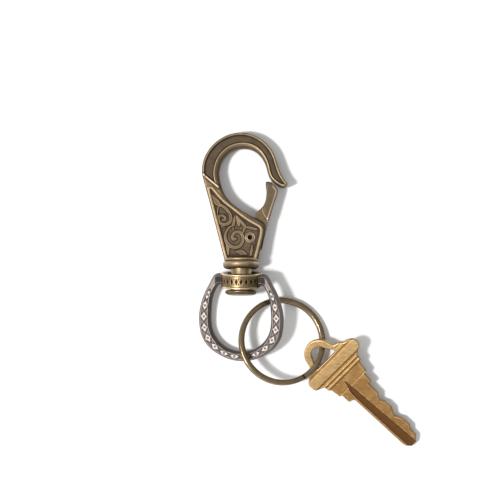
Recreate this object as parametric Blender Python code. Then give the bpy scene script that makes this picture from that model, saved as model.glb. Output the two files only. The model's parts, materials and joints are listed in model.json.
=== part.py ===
"""Carabiner keyring: a cast snap hook with a sprung gate, a swivel with a horseshoe shackle, a split ring
and a house key, lying on a flat surface at z = 0.

World frame: +Z up, +Y along the swivel towards the hook's crown, +X to the gate's side. Sizes below are
in millimetres and are scaled by MM where they meet Blender.
"""

import math

import bmesh
import bpy
from mathutils import Matrix, Vector

MM = 0.001

# --- Driving dimensions (millimetres and degrees) ---------------------------------------
ORIGIN = Vector((-24.58, 3.61, -0.01))  # swivel centre seen from the middle of the whole object's footprint
AXIS_HEIGHT = 7.7  # swivel centre above the surface
HOOK_TILT = 4.5  # the crown lies lower than the swivel
SHACKLE_ROLL = 14.0  # the shackle lies over on its left arm
SHACKLE_DROOP = 5.5  # the shackle's bar hangs lower than the barrel, within the swivel's play

HOOK_HALF_THICKNESS = 3.2
HOOK_EDGE_ROUND = 0.45
RECESS_DEPTH = 0.5
CHANNEL_FROM_OUTER, CHANNEL_FROM_INNER = 1.2, 2.2
SLOT_HALF_WIDTH = 1.6

FLANGE_RADIUS = 6.7
FLANGE_LOW, FLANGE_HIGH = 4.1, 8.2
POST_RADIUS = 3.9
POST_HEAD_RADIUS = 5.9
POST_HEAD_LOW, POST_HEAD_HIGH = -5.7, -3.5
SHANK_RADIUS, SHANK_TOP = 2.2, 11.2
FIT_GAP = 0.1
FLOOR_GAP = 0.03

BARREL_RADIUS = 7.5
BARREL_HALF_HEIGHT = 2.7
BARREL_BORE = 4.6
BARREL_RIM, BARREL_BAND_DEPTH = 0.6, 0.25

SHACKLE_HALF_THICKNESS = 2.1
SHACKLE_EDGE_ROUND = 0.7

PIN_X, PIN_Y = 3.3, 15.6
PIN_RADIUS, PIN_BORE, PIN_BORE_DEPTH = 1.35, 0.9, 1.8
PIN_HALF_LENGTH = 2.85
PIN_BOSS_RADIUS, PIN_BOSS_HEIGHT = 2.0, 0.3
GATE_HALF_THICKNESS = 2.3
GATE_TONGUE_HALF_THICKNESS = 1.4
GATE_HUB_RADIUS = 3.3

SPRING_WIRE = 0.4
SPRING_MEAN_RADIUS = 1.85
SPRING_TURNS = 2

RING_RADIUS = 15.35
RING_TILT, RING_TILT_DIRECTION = 15.4, 45.0
RING_CENTRE_X, RING_CENTRE_Y = 15.2, -22.7
WIRE_WIDTH, WIRE_HEIGHT, WIRE_PITCH = 2.05, 1.28, 1.36
WIRE_START, WIRE_END = -22.0, 661.0  # where the wire starts and ends, in degrees round the ring
JOG_START, JOG_END = 302.0, 334.0  # where it climbs from the lower coil to the upper one
KEY_HANG_ANGLE = -19.0  # where round the ring the key hangs

KEY_THICKNESS = 2.0
KEY_LENGTH = 54.4
KEY_HEADING = -42.6  # direction of the blade in the surface's plane
KEY_PITCH, KEY_ROLL = 3.0, 18.0
KEY_TIP_X, KEY_TIP_Y, KEY_TIP_HEIGHT = 64.9, -60.4, 2.45

# --- Outlines (millimetres) ---------------------------------------------------------------
# Hook, in its own frame: x towards the gate, y towards the crown, origin at the swivel centre.
HOOK_LEFT = [(-6.2, 7.7), (-12.2, 30.8)]
HOOK_OUTER_CURVE = [
    (-12.2, 30.8), (-13.6, 35.9), (-14.5, 40.0), (-14.0, 44.0), (-12.3, 47.7), (-9.2, 51.2),
    (-4.9, 53.7), (-0.1, 54.6), (4.4, 53.75), (7.9, 51.8), (10.7, 49.0), (12.4, 46.0), (13.4, 43.0),
    (14.4, 40.0), (15.6, 37.6), (16.9, 36.0),
]
HOOK_NOSE = [(16.9, 36.0), (17.1, 35.2), (16.5, 34.4), (15.4, 34.3)]
HOOK_INNER_CURVE = [
    (15.4, 34.3), (13.8, 35.0), (12.3, 36.1), (10.9, 37.6), (10.0, 39.6), (9.2, 42.5), (8.0, 45.0),
    (6.3, 47.0), (4.0, 48.35), (1.4, 48.8), (-1.6, 48.4), (-4.4, 47.0), (-6.8, 44.2), (-7.9, 41.0),
    (-8.0, 38.2), (-7.3, 34.8), (-5.8, 31.2), (-3.0, 27.9), (1.6, 24.7), (5.4, 22.5),
]
HOOK_CHEEK = [(5.4, 22.5), (7.6, 21.2), (8.4, 20.2), (8.5, 18.8), (6.4, 7.7)]
PANEL = [(-5.0, 9.0), (-10.95, 31.2), (-10.2, 32.0), (-8.9, 31.3), (5.6, 20.4), (6.9, 18.9), (5.1, 9.0)]

# Gate, in the hook's frame.
GATE_BLADE = [
    (9.1, 35.9), (9.8, 36.3), (10.6, 36.2), (12.3, 34.8), (13.5, 33.1), (13.3, 31.6), (11.7, 26.6),
    (10.2, 22.2), (9.1, 22.5), (7.9, 24.2), (7.4, 26.2), (8.2, 27.3), (9.1, 29.6), (9.4, 32.8),
]
GATE_TONGUE = [(9.0, 28.0), (10.9, 24.2), (9.9, 21.0), (8.9, 16.8), (7.6, 11.4), (6.4, 10.6), (5.6, 11.6)]
GATE_TONGUE_LEFT = [(5.0, 22.4), (5.3, 24.7), (6.6, 25.8)]

# Horseshoe shackle, right half, from the barrel round to the middle of the bar; y runs down to the bar.
SHACKLE_OUTER = [
    (6.9, 2.3), (9.0, 2.3), (10.4, 1.4), (12.0, -1.5), (13.9, -5.2), (15.15, -8.6), (15.9, -12.0),
    (16.1, -15.0), (15.8, -18.2), (15.0, -21.4), (13.0, -24.6), (9.9, -27.2), (6.1, -29.1),
    (2.7, -30.0), (0.0, -30.2),
]
SHACKLE_INNER = [
    (6.9, -1.9), (8.3, -1.9), (9.3, -3.1), (10.4, -5.5), (11.1, -8.3), (11.4, -11.2), (11.5, -14.4),
    (11.2, -17.8), (10.2, -20.6), (8.4, -23.1), (6.0, -25.0), (3.1, -26.2), (0.0, -26.5),
]
BAR_HINGE_X, BAR_HINGE_Y = 2.4, -28.2  # where the ring hangs on the bar

# Key, in its own frame: x from the loop's end towards the tip, y across, towards the cuts.
KEY_LOOP_RADIUS = 5.8
KEY_LOOP_WIDTH = 2.6
KEY_HOLE_END, KEY_HOLE_HALF_WIDTH = 9.1, 5.1
KEY_BOW_BACK = [
    (6.8, -6.3), (7.4, -7.8), (8.9, -8.8), (9.5, -9.9), (10.3, -11.2), (11.3, -11.8), (13.5, -11.8),
    (14.5, -11.2), (15.1, -9.4), (15.6, -8.2), (17.8, -8.0), (18.2, -7.2), (22.2, -6.8),
    (22.4, -5.8), (26.4, -5.9),
]
KEY_BOW_FRONT = [
    (6.8, 6.3), (7.5, 8.3), (8.9, 10.0), (9.4, 11.6), (10.2, 13.1), (11.3, 13.8), (13.5, 13.8),
    (14.6, 13.1), (15.1, 11.2), (15.6, 9.8), (17.8, 9.4), (18.2, 8.2), (22.2, 7.6), (22.4, 6.3),
    (26.4, 6.1),
]
KEY_BACK = -3.65
KEY_STOP_X = 26.4  # where the shoulder meets the lock
KEY_CUT_EDGE = [
    (26.4, 4.5), (31.2, 4.4), (32.7, 3.0), (33.7, 3.0), (35.4, 3.8), (38.6, 3.8), (40.8, 2.4),
    (42.0, 2.4), (44.0, 3.5), (48.0, 3.6), (49.8, 2.4), (52.2, 2.4), (54.3, 0.4), (54.4, -1.9),
    (52.6, -3.4),
]
KEY_BARS = [(10.2, 14.4), (15.2, 16.2), (16.7, 17.7)]  # raised bars across the bow, from x to x
KEY_STEP_LINE = 22.1
KEY_RECESS_DEPTH, KEYWAY_DEPTH = 0.2, 0.55
KEYWAY = [
    (18.8, -0.8), (23.8, -2.5), (28.3, -2.8), (56.0, -2.8), (56.0, 0.9), (53.6, 0.9), (35.4, 0.1),
    (24.6, -0.3),
]


# --- Shape helpers ------------------------------------------------------------------------
def smooth_through(points, per_span=3):
    """A Catmull-Rom curve through the points, ends included."""
    padded = [points[0], *points, points[-1]]
    curve = []
    for before, start, end, after in zip(padded, padded[1:], padded[2:], padded[3:]):
        for step in range(per_span):
            t = step / per_span
            curve.append(tuple(
                b + 0.5 * ((c - a) * t + (2 * a - 5 * b + 4 * c - d) * t**2 + (3 * b - 3 * c + d - a) * t**3)
                for a, b, c, d in zip(before, start, end, after)
            ))
    curve.append(points[-1])
    return curve


def mirrored(points):
    """The line mirrored to the other side of the y axis, drawn the other way."""
    return [(-x, y) for x, y in reversed(points)]


def without_repeats(points):
    """The closed outline with points closer than a hair to the one before left out."""
    kept = []
    for point in points:
        if not kept or math.dist(point, kept[-1]) > 0.02:
            kept.append(point)
    if math.dist(kept[0], kept[-1]) <= 0.02:
        kept.pop()
    return kept


def arc(centre, radius, start, end, steps):
    """Points on an arc, angles in degrees."""
    angles = [math.radians(start + (end - start) * i / steps) for i in range(steps + 1)]
    return [(centre[0] + radius * math.cos(a), centre[1] + radius * math.sin(a)) for a in angles]


def mesh_object(name, points, faces, material=None, smooth_angle=35.0):
    """A mesh from points in millimetres."""
    mesh = bpy.data.meshes.new(name)
    mesh.from_pydata([Vector(p) * MM for p in points], [], faces)
    shape = bmesh.new()
    shape.from_mesh(mesh)
    bmesh.ops.recalc_face_normals(shape, faces=shape.faces)
    shape.to_mesh(mesh)
    shape.free()
    mesh.shade_smooth()
    mesh.set_sharp_from_angle(angle=math.radians(smooth_angle))
    obj = bpy.data.objects.new(name, mesh)
    bpy.context.scene.collection.objects.link(obj)
    if material:
        mesh.materials.append(material)
    return obj


def prism(name, outline, low, high, material=None):
    """A closed outline in x and y, extruded in z."""
    outline = without_repeats(outline)
    count = len(outline)
    points = [(x, y, low) for x, y in outline] + [(x, y, high) for x, y in outline]
    sides = [(i, (i + 1) % count, count + (i + 1) % count, count + i) for i in range(count)]
    ends = [tuple(reversed(range(count))), tuple(range(count, 2 * count))]
    return mesh_object(name, points, [*ends, *sides], material)


def loft(name, rings, material=None):
    """Skins a list of rings of points, each with as many points, and closes both ends."""
    count = len(rings[0])
    points = [p for ring in rings for p in ring]
    faces = []
    for r in range(len(rings) - 1):
        for i in range(count):
            j = (i + 1) % count
            faces.append((r * count + i, r * count + j, (r + 1) * count + j, (r + 1) * count + i))
    last = (len(rings) - 1) * count
    faces += [tuple(reversed(range(count))), tuple(range(last, last + count))]
    return mesh_object(name, points, faces, material)


def turned(name, profile, steps, material=None):
    """A closed profile of (radius, y) points off the axis, turned about the y axis."""
    count = len(profile)
    points = []
    for s in range(steps):
        a = 2 * math.pi * s / steps
        points += [(r * math.cos(a), y, r * math.sin(a)) for r, y in profile]
    faces = []
    for s in range(steps):
        for i in range(count):
            j, t = (i + 1) % count, (s + 1) % steps
            faces.append((s * count + i, s * count + j, t * count + j, t * count + i))
    return mesh_object(name, points, faces, material)


def turned_solid(name, profile, steps, material=None):
    """An open profile of (radius, y) points whose ends both sit on the y axis, turned about it."""
    inner = profile[1:-1]
    count = len(inner)
    points = [(0, profile[0][1], 0), (0, profile[-1][1], 0)]
    for s in range(steps):
        a = 2 * math.pi * s / steps
        points += [(r * math.cos(a), y, r * math.sin(a)) for r, y in inner]
    faces = []
    for s in range(steps):
        t = (s + 1) % steps
        first, second = 2 + s * count, 2 + t * count
        faces.append((0, first, second))
        faces += [(first + i, first + i + 1, second + i + 1, second + i) for i in range(count - 1)]
        faces.append((1, second + count - 1, first + count - 1))
    return mesh_object(name, points, faces, material)


def cylinder_z(name, x, y, radius, low, high, sides=24):
    """An upright cylinder."""
    return prism(name, arc((x, y), radius, 0, 360, sides), low, high)


def boolean(target, other, operation):
    """Adds a Boolean whose other object stays in the file as a hidden helper."""
    modifier = target.modifiers.new(other.name, "BOOLEAN")
    modifier.operation = operation
    modifier.solver = "EXACT"
    modifier.object = other
    other.hide_render = True
    other.display_type = "WIRE"
    return target


def bevel(obj, width, segments=1, angle=50.0):
    """Rounds the sharp edges."""
    modifier = obj.modifiers.new("edge_round", "BEVEL")
    modifier.width = width * MM
    modifier.segments = segments
    modifier.limit_method = "ANGLE"
    modifier.angle_limit = math.radians(angle)
    modifier.use_clamp_overlap = True
    return obj


def metal(name, colour, roughness):
    """A plain metal for one part."""
    material = bpy.data.materials.new(name)
    material.use_nodes = True
    shader = material.node_tree.nodes["Principled BSDF"]
    shader.inputs["Base Color"].default_value = (*colour, 1)
    shader.inputs["Metallic"].default_value = 1.0
    shader.inputs["Roughness"].default_value = roughness
    return material


def frame(name, matrix):
    """An empty that parts hang from."""
    empty = bpy.data.objects.new(name, None)
    empty.empty_display_size = 5 * MM
    bpy.context.scene.collection.objects.link(empty)
    empty.matrix_world = matrix
    return empty


def place(parent, *objects):
    """Parents objects built in that empty's frame."""
    for obj in objects:
        obj.parent = parent


def hang(hinge, matrix, *objects):
    """Parents objects built in the frame of the matrix to an empty on their joint's axis."""
    for obj in objects:
        obj.parent = hinge
        obj.matrix_local = hinge.matrix_world.inverted() @ matrix


def in_metres(x, y, z):
    """A translation from millimetres."""
    return Matrix.Translation(Vector((x, y, z)) * MM)


def turn(degrees, axis):
    """A rotation."""
    return Matrix.Rotation(math.radians(degrees), 4, axis)


# --- Parts --------------------------------------------------------------------------------
def hook_outline(per_span=3):
    """The hook's closed outline, anticlockwise from the foot of the cheek."""
    return without_repeats(
        list(reversed(HOOK_CHEEK))
        + smooth_through(list(reversed(HOOK_INNER_CURVE)), per_span)
        + smooth_through(list(reversed(HOOK_NOSE)), 2)
        + smooth_through(list(reversed(HOOK_OUTER_CURVE)), per_span)
        + list(reversed(HOOK_LEFT))
    )


def channel_outline():
    """The recessed channel on the hook's arm, between the outer and the inner rim."""
    outer = smooth_through(HOOK_OUTER_CURVE[2:-1], 2)
    inner = smooth_through(HOOK_INNER_CURVE[2:16], 2)
    return inset(outer, CHANNEL_FROM_OUTER, 1) + inset(inner, CHANNEL_FROM_INNER, 1)


def inset(points, distance, side):
    """The open line moved sideways, to its right for side 1, by the distance."""
    moved = []
    for i, (x, y) in enumerate(points):
        ahead, behind = points[min(i + 1, len(points) - 1)], points[max(i - 1, 0)]
        along = Vector((ahead[0] - behind[0], ahead[1] - behind[1])).normalized()
        moved.append((x + side * along.y * distance, y - side * along.x * distance))
    return moved


def build_hook(material):
    """The cast hook: two rimmed faces, a slot for the gate between two cheeks, and a flange at the foot."""
    body = prism("hook_body", hook_outline(), -HOOK_HALF_THICKNESS, HOOK_HALF_THICKNESS, material)
    bevel(body, HOOK_EDGE_ROUND)
    flange = turned_solid("flange", [
        (0, FLANGE_LOW), (FLANGE_RADIUS - 0.7, FLANGE_LOW), (FLANGE_RADIUS - 0.1, FLANGE_LOW + 0.5),
        (FLANGE_RADIUS, FLANGE_LOW + 1.3), (FLANGE_RADIUS - 0.3, FLANGE_LOW + 2.1),
        (FLANGE_RADIUS - 0.8, FLANGE_LOW + 2.6), (FLANGE_RADIUS - 0.45, FLANGE_LOW + 3.1),
        (FLANGE_RADIUS - 0.8, FLANGE_HIGH - 0.35), (FLANGE_RADIUS - 1.8, FLANGE_HIGH), (0, FLANGE_HIGH),
    ], 40)
    boolean(body, flange, "UNION")
    helpers, bosses = [flange], []
    for side in (-1, 1):
        floor = side * (HOOK_HALF_THICKNESS - RECESS_DEPTH)
        above = side * (HOOK_HALF_THICKNESS + 1)
        for label, outline in (("channel", channel_outline()), ("panel", PANEL)):
            helpers.append(prism(f"{label}_cutter_{side + 1}", outline, min(floor, above), max(floor, above)))
            boolean(body, helpers[-1], "DIFFERENCE")
        root, top = floor - side * PIN_BOSS_HEIGHT, floor + side * PIN_BOSS_HEIGHT
        bosses.append(cylinder_z(f"pin_boss_{side + 1}", PIN_X, PIN_Y, PIN_BOSS_RADIUS,
                                 min(root, top), max(root, top)))
    for boss in bosses:
        boolean(body, boss, "UNION")
    slot = prism("slot_cutter", slot_outline(), -SLOT_HALF_WIDTH, SLOT_HALF_WIDTH)
    pin_hole = cylinder_z("pin_hole_cutter", PIN_X, PIN_Y, PIN_RADIUS + FIT_GAP / 2, -6, 6)
    room, top = SHANK_RADIUS + FIT_GAP, SHANK_TOP + 0.2
    shank_hole = turned_solid("shank_hole_cutter", [
        (0, FLANGE_LOW - 1), (room, FLANGE_LOW - 1), (room, top), (0, top),
    ], 32)
    for cutter in (slot, pin_hole, shank_hole):
        boolean(body, cutter, "DIFFERENCE")
    return body, [*helpers, *bosses, slot, pin_hole, shank_hole]


def slot_outline():
    """The room that the gate's tongue needs between the cheeks, over its whole swing."""
    return [
        (14.0, 30.0), (14.0, 9.6), (5.4, 9.6), (4.6, 11.4), (1.0, 12.0), (-0.6, 14.0), (-0.8, 17.4),
        (-2.2, 22.0), (-3.0, 30.0),
    ]


def build_gate(material):
    """The gate: a thick blade outside the slot, and a thin tongue and hub inside it, pivoting on the pin."""
    at_pin = [(x - PIN_X, y - PIN_Y) for x, y in GATE_BLADE]
    blade_outline = smooth_through([*at_pin, at_pin[0]], 2)
    blade = prism("gate_lever", blade_outline, -GATE_HALF_THICKNESS, GATE_HALF_THICKNESS, material)
    bevel(blade, 0.3)
    hub = arc((0, 0), GATE_HUB_RADIUS, 300, 130, 12)
    outline = [(x - PIN_X, y - PIN_Y) for x, y in GATE_TONGUE] + hub
    outline += [(x - PIN_X, y - PIN_Y) for x, y in GATE_TONGUE_LEFT]
    tongue = prism("gate_tongue", outline, -GATE_TONGUE_HALF_THICKNESS, GATE_TONGUE_HALF_THICKNESS)
    boolean(blade, tongue, "UNION")
    bore = cylinder_z("gate_bore_cutter", 0, 0, PIN_RADIUS + 0.12, -4, 4)
    room = SPRING_MEAN_RADIUS + SPRING_WIRE + 0.15
    coil_room = prism("spring_room_cutter", [
        *arc((0, 0), room, -90, 0, 8), (room, 4.2), (-5, 4.2), (-5, -4), (0, -4),
    ], -0.85, 0.85)
    for cutter in (bore, coil_room):
        boolean(blade, cutter, "DIFFERENCE")
    return blade, [tongue, bore, coil_room]


def build_pin(material):
    """The pin pressed through both cheeks, with a blind bore in each end where it is riveted."""
    pin = cylinder_z("gate_pin", PIN_X, PIN_Y, PIN_RADIUS, -PIN_HALF_LENGTH, PIN_HALF_LENGTH)
    pin.data.materials.append(material)
    bores = []
    for side in (-1, 1):
        floor, above = side * (PIN_HALF_LENGTH - PIN_BORE_DEPTH), side * (PIN_HALF_LENGTH + 1)
        bores.append(cylinder_z(f"pin_bore_cutter_{side + 1}", PIN_X, PIN_Y, PIN_BORE,
                                min(floor, above), max(floor, above), 16))
        boolean(pin, bores[-1], "DIFFERENCE")
    return pin, bores


def build_spring(material):
    """A torsion spring wound round the pin: one leg along the slot's floor, one along the gate."""
    pitch = SPRING_WIRE + 0.06
    low = -pitch * SPRING_TURNS / 2
    sweep = 360 * SPRING_TURNS + 90
    turns = [(270 + sweep * i / 40, low + pitch * SPRING_TURNS * i / 40) for i in range(41)]
    r = SPRING_MEAN_RADIUS
    path = [(-3.2, -r, low)]
    path += [(r * math.cos(math.radians(a)), r * math.sin(math.radians(a)), z) for a, z in turns]
    path.append((r, 3.6, path[-1][2]))
    spring = tube("gate_spring", path, SPRING_WIRE / 2, 8, material)
    return spring


def tube(name, path, radius, sides, material):
    """A round wire along a path that stays close to the xy plane."""
    rings = []
    for i, point in enumerate(path):
        ahead, behind = Vector(path[min(i + 1, len(path) - 1)]), Vector(path[max(i - 1, 0)])
        along = (ahead - behind).normalized()
        across = along.cross(Vector((0, 0, 1))).normalized()
        up = across.cross(along)
        rings.append([
            tuple(Vector(point) + radius * (math.cos(2 * math.pi * k / sides) * across
                                            + math.sin(2 * math.pi * k / sides) * up))
            for k in range(sides)
        ])
    return loft(name, rings, material)


def build_post(material):
    """The swivel post: a button head, the barrel's journal, and a shank pressed into the hook."""
    head, low, high = POST_HEAD_RADIUS, POST_HEAD_LOW, POST_HEAD_HIGH
    shoulder = FLANGE_LOW - FIT_GAP
    return turned_solid("swivel_post", [
        (0, low), (head - 1.2, low), (head - 0.3, low + 0.35), (head, low + 1.0), (head - 0.25, high - 0.55),
        (head - 0.9, high - 0.15), (POST_RADIUS, high), (POST_RADIUS, shoulder), (SHANK_RADIUS, shoulder),
        (SHANK_RADIUS, SHANK_TOP - 0.3), (SHANK_RADIUS - 0.3, SHANK_TOP), (0, SHANK_TOP),
    ], 40, material)


def build_barrel(material):
    """The barrel that turns on the post, with a raised rim at each end of its band."""
    floor = BARREL_RADIUS - BARREL_BAND_DEPTH
    top, rim = BARREL_HALF_HEIGHT, BARREL_HALF_HEIGHT - BARREL_RIM
    barrel = turned("swivel_barrel", [
        (BARREL_BORE, -top), (BARREL_RADIUS - 0.2, -top), (BARREL_RADIUS, -top + 0.2), (BARREL_RADIUS, -rim),
        (floor, -rim + 0.15), (floor, rim - 0.15), (BARREL_RADIUS, rim), (BARREL_RADIUS, top - 0.2),
        (BARREL_RADIUS - 0.2, top), (BARREL_BORE, top),
    ], 40, material)
    helpers = []
    for side in (-1, 1):
        pocket = prism(f"arm_pocket_cutter_{side + 1}", [
            (side * 6.8, -2.0), (side * 9, -2.0), (side * 9, 2.4), (side * 6.8, 2.4),
        ], -SHACKLE_HALF_THICKNESS - FIT_GAP, SHACKLE_HALF_THICKNESS + FIT_GAP)
        helpers.append(pocket)
        boolean(barrel, pocket, "DIFFERENCE")
    return barrel, helpers


def build_shackle(material):
    """The horseshoe: two arms let into the barrel, joined by the bar that the ring hangs on."""
    outer = smooth_through(SHACKLE_OUTER, 2)
    inner = smooth_through(SHACKLE_INNER, 2)
    outline = outer + mirrored(outer)[1:] + list(reversed(mirrored(inner))) + list(reversed(inner))[1:]
    shackle = prism("horseshoe_shackle", outline, -SHACKLE_HALF_THICKNESS, SHACKLE_HALF_THICKNESS, material)
    return bevel(shackle, SHACKLE_EDGE_ROUND, 2)


def build_ring(material):
    """The split ring: one wire wound twice round, climbing from the lower coil to the upper one."""
    rings = []
    count = math.ceil((WIRE_END - WIRE_START) / 8)
    for i in range(count + 1):
        angle = WIRE_START + i * (WIRE_END - WIRE_START) / count
        climb = min(max((angle - JOG_START) / (JOG_END - JOG_START), 0.0), 1.0)
        climb = climb * climb * (3 - 2 * climb)
        rings.append(wire_section(math.radians(angle), WIRE_PITCH * (climb - 0.5)))
    return loft("split_ring", rings, material)


def wire_section(angle, height, sides=12):
    """The flattened wire's oval section at an angle round the ring."""
    out = Vector((math.cos(angle), math.sin(angle), 0))
    section = []
    for k in range(sides):
        a = 2 * math.pi * (k + 0.5) / sides
        across = math.copysign(abs(math.cos(a)) ** 0.75, math.cos(a)) * WIRE_WIDTH / 2
        up = math.copysign(abs(math.sin(a)) ** 0.75, math.sin(a)) * WIRE_HEIGHT / 2
        section.append(tuple(out * (RING_RADIUS + across) + Vector((0, 0, height + up))))
    return section


def key_outline():
    """The key's closed outline: loop, stepped bow, shoulder and the blade with its cuts."""
    loop = arc((KEY_LOOP_RADIUS, 0), KEY_LOOP_RADIUS, 260, 100, 16)
    back_of_blade = [(KEY_CUT_EDGE[-1][0] - 1.2, KEY_BACK), (KEY_STOP_X, KEY_BACK)]
    return loop + KEY_BOW_FRONT + KEY_CUT_EDGE + back_of_blade + list(reversed(KEY_BOW_BACK))


def build_key(material):
    """The key, flat in its own frame, with the loop's hole, the bow's bars and the milled keyway."""
    half = KEY_THICKNESS / 2
    key = prism("house_key", key_outline(), -half, half, material)
    hole = prism("key_hole_cutter", [
        *arc((KEY_LOOP_RADIUS, 0), KEY_LOOP_RADIUS - KEY_LOOP_WIDTH, 105, 255, 12),
        (KEY_HOLE_END - 0.6, -KEY_HOLE_HALF_WIDTH), (KEY_HOLE_END, -KEY_HOLE_HALF_WIDTH + 0.6),
        (KEY_HOLE_END, KEY_HOLE_HALF_WIDTH - 0.6), (KEY_HOLE_END - 0.6, KEY_HOLE_HALF_WIDTH),
    ], -3, 3)
    helpers = [hole]
    for side in (-1, 1):
        above = side * (half + 1)
        floor = side * (half - KEY_RECESS_DEPTH)
        for i, (start, end) in enumerate(bow_recesses()):
            strip = [(start, -16), (end, -16), (end, 16), (start, 16)]
            helpers.append(prism(f"bow_recess_{i}_{side + 1}", strip, min(floor, above), max(floor, above)))
        floor = side * (half - KEYWAY_DEPTH)
        helpers.append(prism(f"keyway_cutter_{side + 1}", KEYWAY, min(floor, above), max(floor, above)))
    for cutter in helpers:
        boolean(key, cutter, "DIFFERENCE")
    return key, helpers


def bow_recesses():
    """The lowered strips between the raised bars, from x to x."""
    band, second, third = KEY_BARS
    starts = [KEY_HOLE_END + 0.6, band[1], second[1], third[1]]
    ends = [band[0], second[0], third[0], KEY_STEP_LINE]
    return list(zip(starts, ends))


# --- Assembly -----------------------------------------------------------------------------
def ring_matrix():
    """Where the ring lies: leaning on the bar at one side, on the surface at the other."""
    direction = math.radians(RING_TILT_DIRECTION)
    hinge = Vector((-math.sin(direction), math.cos(direction), 0))
    half_height = (WIRE_PITCH + WIRE_HEIGHT) / 2
    lean = math.radians(RING_TILT)
    height = (RING_RADIUS + WIRE_WIDTH / 2) * math.sin(lean) + half_height * math.cos(lean) + FLOOR_GAP
    centre = ORIGIN + Vector((RING_CENTRE_X, RING_CENTRE_Y, height))
    return in_metres(*centre) @ Matrix.Rotation(lean, 4, hinge)


def key_matrix():
    """Where the key lies: its tip on the surface, its loop over the ring."""
    tip = Vector((KEY_TIP_X, KEY_TIP_Y, KEY_TIP_HEIGHT))
    turned_frame = turn(KEY_HEADING, "Z") @ turn(KEY_PITCH, "Y") @ turn(KEY_ROLL, "X")
    return in_metres(*(ORIGIN + tip)) @ turned_frame @ in_metres(-KEY_LENGTH, 0, 0)


def main():
    for obj in list(bpy.data.objects):
        bpy.data.objects.remove(obj)
    brass = metal("antique_brass", (0.34, 0.25, 0.14), 0.38)
    bright_brass = metal("worn_brass", (0.50, 0.38, 0.20), 0.32)
    silver = metal("antique_silver", (0.42, 0.38, 0.36), 0.40)
    key_brass = metal("key_brass", (0.72, 0.50, 0.24), 0.35)
    steel = metal("spring_steel", (0.35, 0.34, 0.33), 0.30)

    swivel = in_metres(*(ORIGIN + Vector((0, 0, AXIS_HEIGHT))))
    hook_matrix = swivel @ turn(-HOOK_TILT, "X")
    shackle_matrix = swivel @ turn(SHACKLE_DROOP, "X") @ turn(-SHACKLE_ROLL, "Y")
    at_key = math.radians(KEY_HANG_ANGLE)
    on_ring = in_metres(RING_RADIUS * math.cos(at_key), RING_RADIUS * math.sin(at_key), 0)
    hook_frame = frame("hook_frame", hook_matrix)
    gate_hinge = frame("gate_hinge", hook_matrix @ in_metres(PIN_X, PIN_Y, 0))
    shackle_frame = frame("shackle_frame", shackle_matrix)
    ring_hinge = frame("ring_hinge", shackle_matrix @ in_metres(BAR_HINGE_X, BAR_HINGE_Y, 0))
    key_hinge = frame("key_hinge", ring_matrix() @ on_ring)

    hook, hook_helpers = build_hook(brass)
    pin, pin_helpers = build_pin(steel)
    post = build_post(bright_brass)
    place(hook_frame, hook, *hook_helpers, pin, *pin_helpers, post)
    gate, gate_helpers = build_gate(brass)
    spring = build_spring(steel)
    place(gate_hinge, gate, *gate_helpers, spring)

    barrel, barrel_helpers = build_barrel(bright_brass)
    place(shackle_frame, barrel, *barrel_helpers, build_shackle(silver))
    hang(ring_hinge, ring_matrix(), build_ring(brass))
    key, key_helpers = build_key(key_brass)
    hang(key_hinge, key_matrix(), key, *key_helpers)


main()
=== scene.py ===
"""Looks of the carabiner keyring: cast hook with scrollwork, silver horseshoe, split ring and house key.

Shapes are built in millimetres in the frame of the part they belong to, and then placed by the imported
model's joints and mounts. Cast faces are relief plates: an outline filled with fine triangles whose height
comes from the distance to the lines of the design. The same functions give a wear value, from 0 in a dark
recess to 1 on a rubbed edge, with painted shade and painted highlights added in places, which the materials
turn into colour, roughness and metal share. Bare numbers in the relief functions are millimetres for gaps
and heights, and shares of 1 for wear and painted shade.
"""

import json
import math

import bmesh
import bpy
import numpy as np
from mathutils import Matrix, Vector
from mathutils.geometry import delaunay_2d_cdt


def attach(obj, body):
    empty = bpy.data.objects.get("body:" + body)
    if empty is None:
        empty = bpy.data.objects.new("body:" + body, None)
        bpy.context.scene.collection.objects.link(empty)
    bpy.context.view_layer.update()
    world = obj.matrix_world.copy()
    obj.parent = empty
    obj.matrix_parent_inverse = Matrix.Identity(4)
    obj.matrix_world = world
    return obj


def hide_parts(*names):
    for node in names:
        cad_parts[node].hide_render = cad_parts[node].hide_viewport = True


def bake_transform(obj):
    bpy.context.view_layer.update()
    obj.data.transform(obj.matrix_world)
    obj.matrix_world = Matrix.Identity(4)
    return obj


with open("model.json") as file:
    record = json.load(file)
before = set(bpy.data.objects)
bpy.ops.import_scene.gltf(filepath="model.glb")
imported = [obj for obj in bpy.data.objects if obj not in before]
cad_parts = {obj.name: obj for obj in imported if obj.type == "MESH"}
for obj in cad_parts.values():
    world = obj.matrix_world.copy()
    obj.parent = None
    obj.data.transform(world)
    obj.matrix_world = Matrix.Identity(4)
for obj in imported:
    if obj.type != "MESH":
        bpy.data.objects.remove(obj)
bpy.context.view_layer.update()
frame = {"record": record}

MM = 0.001
JOINTS = {joint["name"]: joint for joint in frame["record"]["behaviour"]["joints"]}
MOUNTS = {mount["name"]: mount for mount in frame["record"]["mounts"]}

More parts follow.
